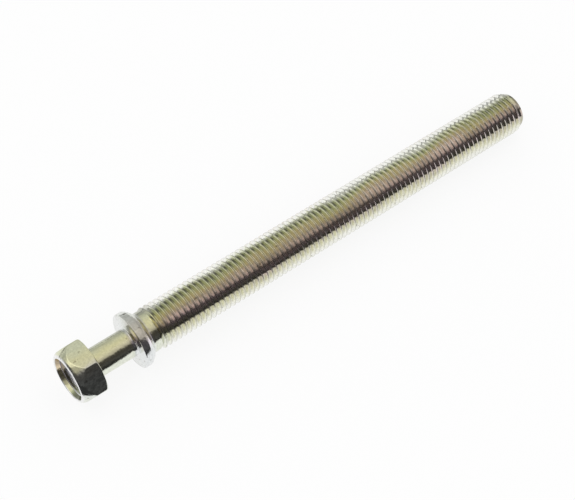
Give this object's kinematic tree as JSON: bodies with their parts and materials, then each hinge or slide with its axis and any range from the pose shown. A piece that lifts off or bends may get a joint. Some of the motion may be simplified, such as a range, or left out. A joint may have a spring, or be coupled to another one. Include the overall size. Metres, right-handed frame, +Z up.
{
  "type": "idler pulley adjusting bolt",
  "caption": "Long one-piece steel adjusting bolt: dished hexagon head, plain neck, round collar and a long fine thread to a chamfered tip.",
  "frame": {"origin": "on the bolt's axis at the bearing face under the head", "axes": "+X along the bolt from the head to the threaded tip, +Z up, hexagon lying with a flat down"},
  "size_m": [0.1213, 0.0136, 0.0126],
  "materials": {
    "yellow_zinc_steel": "yellow passivated zinc plate, bright"
  },
  "bodies": {
    "root": {"idler_pulley_bolt": "yellow_zinc_steel"}
  },
  "joints": []
}
